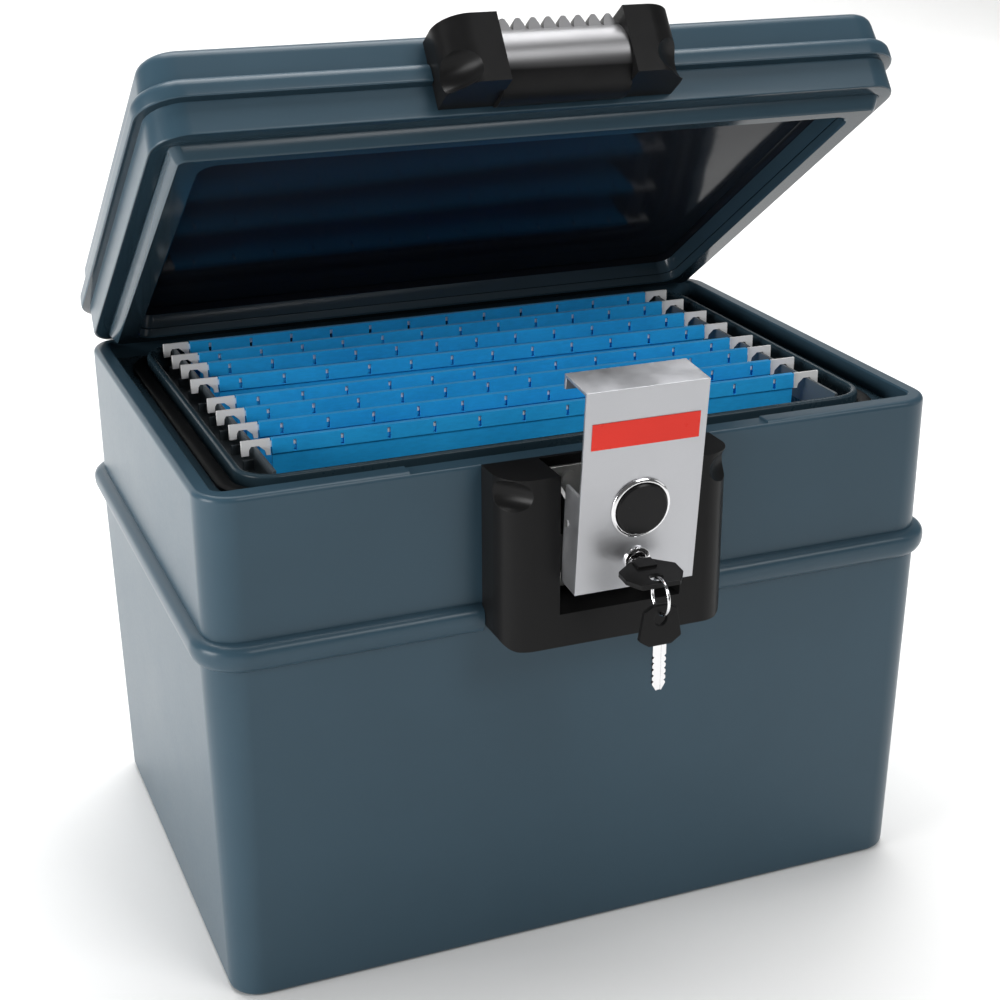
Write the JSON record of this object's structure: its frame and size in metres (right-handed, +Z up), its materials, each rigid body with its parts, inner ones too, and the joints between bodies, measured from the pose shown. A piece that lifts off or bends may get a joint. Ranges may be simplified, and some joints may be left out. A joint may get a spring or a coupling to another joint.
{
  "type": "fireproof document box",
  "caption": "Fire-resistant file box with insulated base, hinged lid with front grip, hooked latch with push button and key lock, and hanging folders on rails.",
  "frame": {"origin": "centre of the base's underside", "axes": "+X to the right as seen from the front, -Y out of the latch's side, +Z up; the lid is open at rest"},
  "size_m": [0.41, 0.3846, 0.4819],
  "materials": {
    "shell": "satin",
    "liner": "satin",
    "pan": "gloss",
    "filler": "matt",
    "black": "satin",
    "gloss_black": "gloss",
    "seal": "matt",
    "rail": "satin",
    "steel": "satin",
    "silver": "satin",
    "chrome": "polished",
    "red": "gloss",
    "blue": "matt",
    "white": "satin"
  },
  "bodies": {
    "base": {"base_shell": "shell", "base_liner": "liner", "base_insulation": "filler", "fill_caps": "black", "rim_gasket": "seal", "file_rail_left": "rail", "file_rail_right": "rail", "latch_frame": "black", "frame_screws": "steel", "latch_bracket": "steel", "bracket_screws": "steel", "catch_leaf": "steel", "hinge_pin_left": "steel", "hinge_pin_right": "steel"},
    "lid": {"lid_shell": "shell", "lid_tongue": "liner", "lid_pan": "pan", "lid_insulation": "filler", "lid_grip": "black", "grip_screws": "steel"},
    "latch": {"latch_plate": "silver", "latch_label": "red", "latch_pivot_pin": "steel", "latch_spring": "steel", "button_bezel": "chrome", "button_housing": "black", "button_spring": "steel", "lock_barrel": "chrome", "lock_nut": "steel"},
    "button": {"push_button": "gloss_black"},
    "lock": {"lock_plug": "chrome", "lock_cam": "steel", "cam_screw": "steel", "key_blade": "chrome", "key_bow": "black"},
    "ring": {"key_ring": "chrome"},
    "spare_key": {"spare_key_blade": "chrome", "spare_key_bow": "black"},
    "folder_1": {"folder_1_sheet": "blue", "folder_1_rods": "white"},
    "folder_2": {"folder_2_sheet": "blue", "folder_2_rods": "white"},
    "folder_3": {"folder_3_sheet": "blue", "folder_3_rods": "white"},
    "folder_4": {"folder_4_sheet": "blue", "folder_4_rods": "white"}
  },
  "joints": [
    {"name": "lid_hinge", "type": "hinge", "parent": "base", "child": "lid", "pos_m": [0, 0.1349, 0.2775], "axis": [-1, 0, 0], "range_deg": [-34.7, 55.3]},
    {"name": "latch_swing", "type": "hinge", "parent": "base", "child": "latch", "pos_m": [0, -0.1765, 0.255], "axis": [1, 0, 0], "range_deg": [-19, 30]},
    {"name": "button_press", "type": "slide", "parent": "latch", "child": "button", "axis": [0, 0.9949, 0.1011], "range_m": [0, 0.003], "stiffness_N_per_m": 400, "springref_m": -0.005, "deforming": ["button_spring"]},
    {"name": "lock_turn", "type": "hinge", "parent": "latch", "child": "lock", "pos_m": [0, -0.17471, 0.23739], "axis": [0, -0.9949, -0.1011], "range_deg": [-90, 0]},
    {"name": "ring_swing", "type": "hinge", "parent": "lock", "child": "ring", "pos_m": [0, -0.21394, 0.23586], "axis": [0, 1, 0], "range_deg": [-12, 12]},
    {"name": "spare_key_swing", "type": "hinge", "parent": "ring", "child": "spare_key", "pos_m": [0, -0.21394, 0.21846], "axis": [0, 1, 0], "range_deg": [-30, 30]},
    {"name": "folder_1_slide", "type": "slide", "parent": "base", "child": "folder_1", "axis": [0, 1, 0], "range_m": [-0.014, 0.001]},
    {"name": "folder_2_slide", "type": "slide", "parent": "base", "child": "folder_2", "axis": [0, 1, 0], "range_m": [-0.024, 0.014]},
    {"name": "folder_3_slide", "type": "slide", "parent": "base", "child": "folder_3", "axis": [0, 1, 0], "range_m": [-0.018, 0.024]},
    {"name": "folder_4_slide", "type": "slide", "parent": "base", "child": "folder_4", "axis": [0, 1, 0], "range_m": [-0.026, 0.018]}
  ]
}
